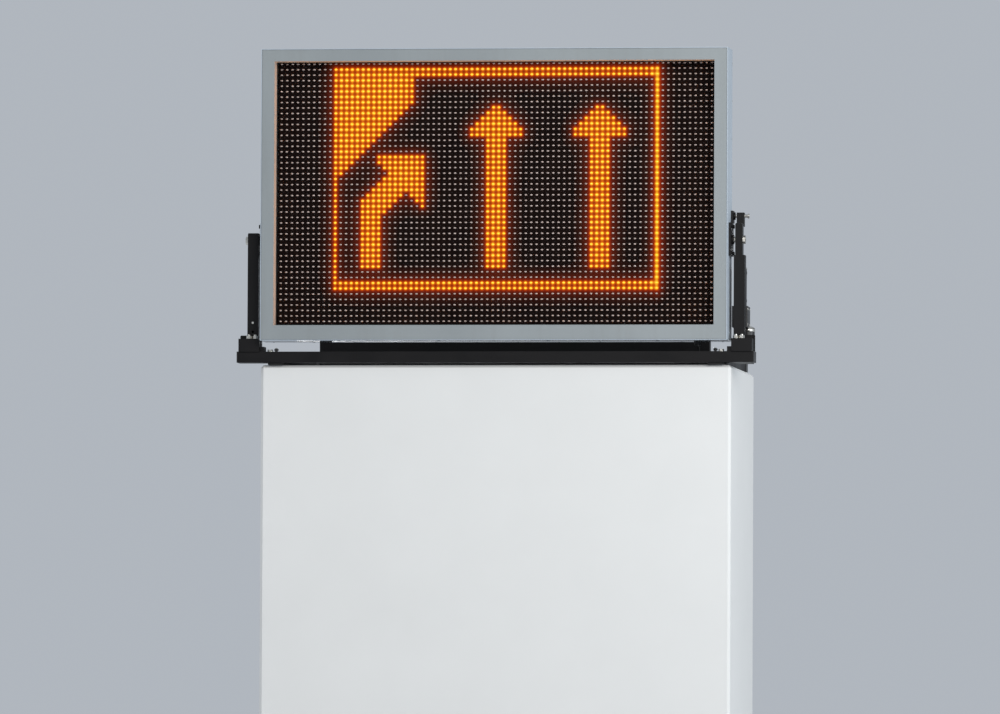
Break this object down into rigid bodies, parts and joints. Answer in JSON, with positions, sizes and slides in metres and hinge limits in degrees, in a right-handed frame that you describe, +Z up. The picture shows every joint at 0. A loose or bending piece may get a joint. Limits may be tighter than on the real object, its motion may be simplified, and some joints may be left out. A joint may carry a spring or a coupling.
{
  "type": "vehicle-mounted arrow board",
  "caption": "Full-matrix LED arrow board in a flat cabinet that tilts between posts on a box-tube rack frame for a truck bed.",
  "frame": {"origin": "centre of the overall bounding box in plan, at the underside of the frame's rubber pads", "axes": "+X to the right when seen from behind the vehicle, across the board; -Y out of the sign face, +Y towards the cab; +Z up"},
  "size_m": [1.896, 0.9, 1.15],
  "materials": {
    "painted_black": "satin black powder coat",
    "cabinet_grey": "matt grey paint over aluminium sheet",
    "zinc": "bright zinc plate",
    "rubber_black": "matt",
    "plastic_black": "matt black",
    "window_clear": "clear sheet, lightly smoked",
    "module_black": "matt black louvred face",
    "galvanised": "galvanised sheet",
    "alloy": "bare sheet",
    "circuit_green": "solder mask",
    "actuator_grey": "grey paint",
    "rod_steel": "polished"
  },
  "bodies": {
    "base": {"rear_beam": "painted_black", "side_rails": "painted_black", "front_beam": "painted_black", "mid_beam": "painted_black", "beam_end_caps": "plastic_black", "rubber_pads": "rubber_black", "mount_ears": "painted_black", "post_left": "painted_black", "post_right": "painted_black", "pivot_bar_right": "painted_black", "post_feet": "painted_black", "post_fixings": "zinc", "beam_bolts": "zinc", "clamp_knobs": "plastic_black", "pivot_bolts": "zinc", "rest_stand": "painted_black", "rest_pads": "rubber_black", "actuator_bracket": "painted_black", "actuator_base_pin": "zinc"},
    "cabinet": {"cabinet_top": "cabinet_grey", "cabinet_floor": "cabinet_grey", "cabinet_sides": "cabinet_grey", "cable_gland": "plastic_black", "bezel_sides": "cabinet_grey", "bezel_head_and_foot": "cabinet_grey", "window": "window_clear", "window_gasket": "rubber_black", "led_modules_lower": "module_black", "led_modules_middle": "module_black", "led_modules_upper": "module_black", "module_rails": "galvanised", "equipment_plates": "galvanised", "power_supplies": "alloy", "receiver_cards": "circuit_green", "controller": "plastic_black", "terminal_block": "plastic_black", "back_head_and_foot": "cabinet_grey", "back_uprights": "cabinet_grey", "door_jambs": "cabinet_grey", "door_gaskets": "rubber_black", "vent_hoods": "cabinet_grey", "tilt_hinge_plates": "painted_black", "actuator_lug": "painted_black", "side_plate_bolts": "painted_black", "cabinet_hinge_leaves": "galvanised"},
    "door_left": {"door_left": "cabinet_grey", "door_left_hinge_leaves": "galvanised"},
    "door_right": {"door_right": "cabinet_grey", "door_right_hinge_leaves": "galvanised"},
    "latch_left_lower": {"latch_left_lower": "plastic_black"},
    "latch_left_upper": {"latch_left_upper": "plastic_black"},
    "latch_right_lower": {"latch_right_lower": "plastic_black"},
    "latch_right_upper": {"latch_right_upper": "plastic_black"},
    "actuator_body": {"actuator_gearbox": "actuator_grey", "actuator_motor": "actuator_grey", "actuator_tube": "actuator_grey", "actuator_collar": "zinc"},
    "actuator_rod": {"actuator_rod": "rod_steel", "rod_end": "painted_black", "rod_end_pin": "zinc"}
  },
  "joints": [
    {"name": "board_tilt", "type": "hinge", "parent": "base", "child": "cabinet", "pos_m": [0, -0.353, 0.455], "axis": [1, 0, 0], "range_deg": [-90, 0]},
    {"name": "actuator_swing", "type": "hinge", "parent": "base", "child": "actuator_body", "pos_m": [0.889, -0.303, 0.07], "axis": [1, 0, 0], "range_deg": [-5.7, 0]},
    {"name": "actuator_stroke", "type": "slide", "parent": "actuator_body", "child": "actuator_rod", "axis": [0, 0.0211, 0.9998], "range_m": [-0.147, 0]},
    {"name": "door_left_swing", "type": "hinge", "parent": "cabinet", "child": "door_left", "pos_m": [-0.799, -0.285, 0.575], "axis": [0, 0, 1], "range_deg": [0, 100]},
    {"name": "door_right_swing", "type": "hinge", "parent": "cabinet", "child": "door_right", "pos_m": [0.799, -0.285, 0.575], "axis": [0, 0, -1], "range_deg": [0, 100]},
    {"name": "latch_left_lower_turn", "type": "hinge", "parent": "door_left", "child": "latch_left_lower", "pos_m": [-0.385, -0.29, 0.33], "axis": [0, 1, 0], "range_deg": [0, 90]},
    {"name": "latch_left_upper_turn", "type": "hinge", "parent": "door_left", "child": "latch_left_upper", "pos_m": [-0.385, -0.29, 0.82], "axis": [0, 1, 0], "range_deg": [0, 90]},
    {"name": "latch_right_lower_turn", "type": "hinge", "parent": "door_right", "child": "latch_right_lower", "pos_m": [0.385, -0.29, 0.33], "axis": [0, -1, 0], "range_deg": [0, 90]},
    {"name": "latch_right_upper_turn", "type": "hinge", "parent": "door_right", "child": "latch_right_upper", "pos_m": [0.385, -0.29, 0.82], "axis": [0, -1, 0], "range_deg": [0, 90]}
  ],
  "couplings": [
    {"joint": "actuator_swing", "follows": "board_tilt", "ratio": 0.062602},
    {"joint": "actuator_stroke", "follows": "board_tilt", "m_per_rad": 0.093437}
  ]
}
